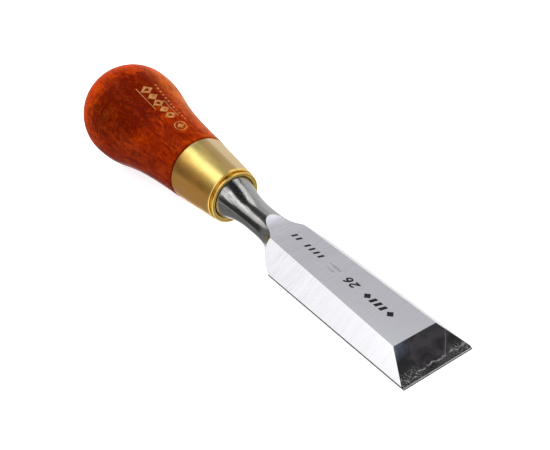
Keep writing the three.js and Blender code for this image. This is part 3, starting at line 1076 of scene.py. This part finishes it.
CEILING = 0.10  # brightness where there is no panel


def aimed(target, azimuth, elevation, distance):
    """The place of a camera or light that looks at the target, with its angles in radians."""
    across = math.cos(elevation)
    direction = Vector(
        (math.sin(azimuth) * across, -math.cos(azimuth) * across, math.sin(elevation)))
    turn = direction.to_track_quat("Z", "Y").to_matrix().to_4x4()
    return Matrix.Translation(target + direction * distance) @ turn


def add_camera():
    data = bpy.data.cameras.new("camera")
    data.lens = LENS
    data.sensor_width = SENSOR_WIDTH
    data.clip_start = NEAREST_SEEN
    camera = add_object("camera", data)
    place = aimed(CAMERA_TARGET, CAMERA_AZIMUTH, CAMERA_ELEVATION, CAMERA_DISTANCE)
    camera.matrix_world = place @ Matrix.Rotation(CAMERA_ROLL, 4, "Z")
    bpy.context.scene.camera = camera


def add_floor():
    """A white floor that shows no reflection and isn't reflected: the dome's panels are."""
    corners = [(x * FLOOR_REACH, y * FLOOR_REACH, 0) for x, y in ((-1, -1), (1, -1), (1, 1), (-1, 1))]
    floor = add_piece("floor", corners, [(0, 1, 2, 3)])
    floor.location.z = cad_box[0][2] - FLOOR_DROP
    material = bpy.data.materials.new("floor_white")
    material.use_nodes = True
    shader = material.node_tree.nodes["Principled BSDF"]
    shader.inputs["Base Color"].default_value = (0.4, 0.4, 0.4, 1)
    shader.inputs["Roughness"].default_value = 0.9
    shader.inputs["Specular IOR Level"].default_value = 0.0
    shader.inputs["Emission Color"].default_value = (1, 1, 1, 1)
    shader.inputs["Emission Strength"].default_value = FLOOR_GLOW
    floor.data.materials.append(material)
    floor.visible_glossy = False


def add_reflection_dome():
    """A sphere round the tool that only reflections see."""
    work = bmesh.new()
    bmesh.ops.create_icosphere(work, subdivisions=4, radius=DOME_RADIUS)
    mesh = bpy.data.meshes.new("reflection_dome")
    work.to_mesh(mesh)
    work.free()
    dome = add_object("reflection_dome", mesh)
    material = bpy.data.materials.new("studio_panels")
    material.use_nodes = True
    tree = material.node_tree
    tree.nodes.clear()
    out = tree.nodes.new("ShaderNodeOutputMaterial")
    glow = tree.nodes.new("ShaderNodeEmission")
    tree.links.new(glow.outputs[0], out.inputs["Surface"])
    where = tree.nodes.new("ShaderNodeTexCoord")
    unit = tree.nodes.new("ShaderNodeVectorMath")
    unit.operation = "NORMALIZE"
    tree.links.new(where.outputs["Object"], unit.inputs[0])
    parts = tree.nodes.new("ShaderNodeSeparateXYZ")
    tree.links.new(unit.outputs[0], parts.inputs[0])

    def math_node(operation, *values):
        node = tree.nodes.new("ShaderNodeMath")
        node.operation = operation
        for socket, value in zip(node.inputs, values):
            if isinstance(value, (int, float)):
                socket.default_value = value
            else:
                tree.links.new(value, socket)
        return node.outputs[0]

    x, y, z = parts.outputs
    azimuth = math_node("MULTIPLY", math_node("ARCTAN2", x, math_node("MULTIPLY", y, -1)),
                        180 / math.pi)
    elevation = math_node("MULTIPLY", math_node("ARCSINE", z), 180 / math.pi)

    def inside(value, low, high, soft):
        """1 between low and high, with an edge as wide as soft."""
        middle = (low + high) / 2
        distance = math_node("ABSOLUTE", math_node("SUBTRACT", value, middle))
        node = tree.nodes.new("ShaderNodeMapRange")
        node.interpolation_type = "SMOOTHSTEP"
        tree.links.new(distance, node.inputs["Value"])
        half = (high - low) / 2
        node.inputs["From Min"].default_value = half - soft / 2
        node.inputs["From Max"].default_value = half + soft / 2
        node.inputs["To Min"].default_value = 1
        node.inputs["To Max"].default_value = 0
        return node.outputs["Result"]

    light = CEILING
    for _, az_low, az_high, el_low, el_high, soft, brightness in PANELS:
        mask = inside(elevation, el_low, el_high, soft)
        if az_high - az_low < FULL_TURN:
            mask = math_node("MULTIPLY", mask, inside(azimuth, az_low, az_high, soft))
        step = math_node("MULTIPLY", mask, math_node("SUBTRACT", brightness, light))
        light = math_node("ADD", light, step)
    tree.links.new(light, glow.inputs["Strength"])
    mesh.materials.append(material)
    dome.visible_camera = False
    dome.visible_diffuse = False
    dome.visible_shadow = False
    dome.visible_transmission = False
    dome.visible_volume_scatter = False


def add_soft_light(name, azimuth, elevation, distance, size, energy):
    """A square softbox that faces the tool, with its angles in degrees.

    Its reflection is left to the dome.
    """
    data = bpy.data.lights.new(name, "AREA")
    data.shape = "SQUARE"
    data.size = size
    data.energy = energy
    light = add_object(name, data)
    light.matrix_world = aimed(
        Vector((0, 0, 0)), math.radians(azimuth), math.radians(elevation), distance)
    light.visible_glossy = False


def add_studio():
    bpy.context.scene.view_settings.view_transform = "Standard"
    world = bpy.data.worlds.new("studio")
    bpy.context.scene.world = world
    world.use_nodes = True
    background = world.node_tree.nodes["Background"]
    background.inputs["Color"].default_value = (1, 1, 1, 1)
    background.inputs["Strength"].default_value = SKY_STRENGTH
    add_floor()
    add_reflection_dome()
    add_soft_light("key", -60, 48, 0.7, 0.5, 7)
    add_soft_light("back_fill", 160, 35, 0.8, 0.6, 9)


add_camera()
add_studio()
make_blade()
make_ferrule()
make_handle()
make_face_marks()
make_gold_print()
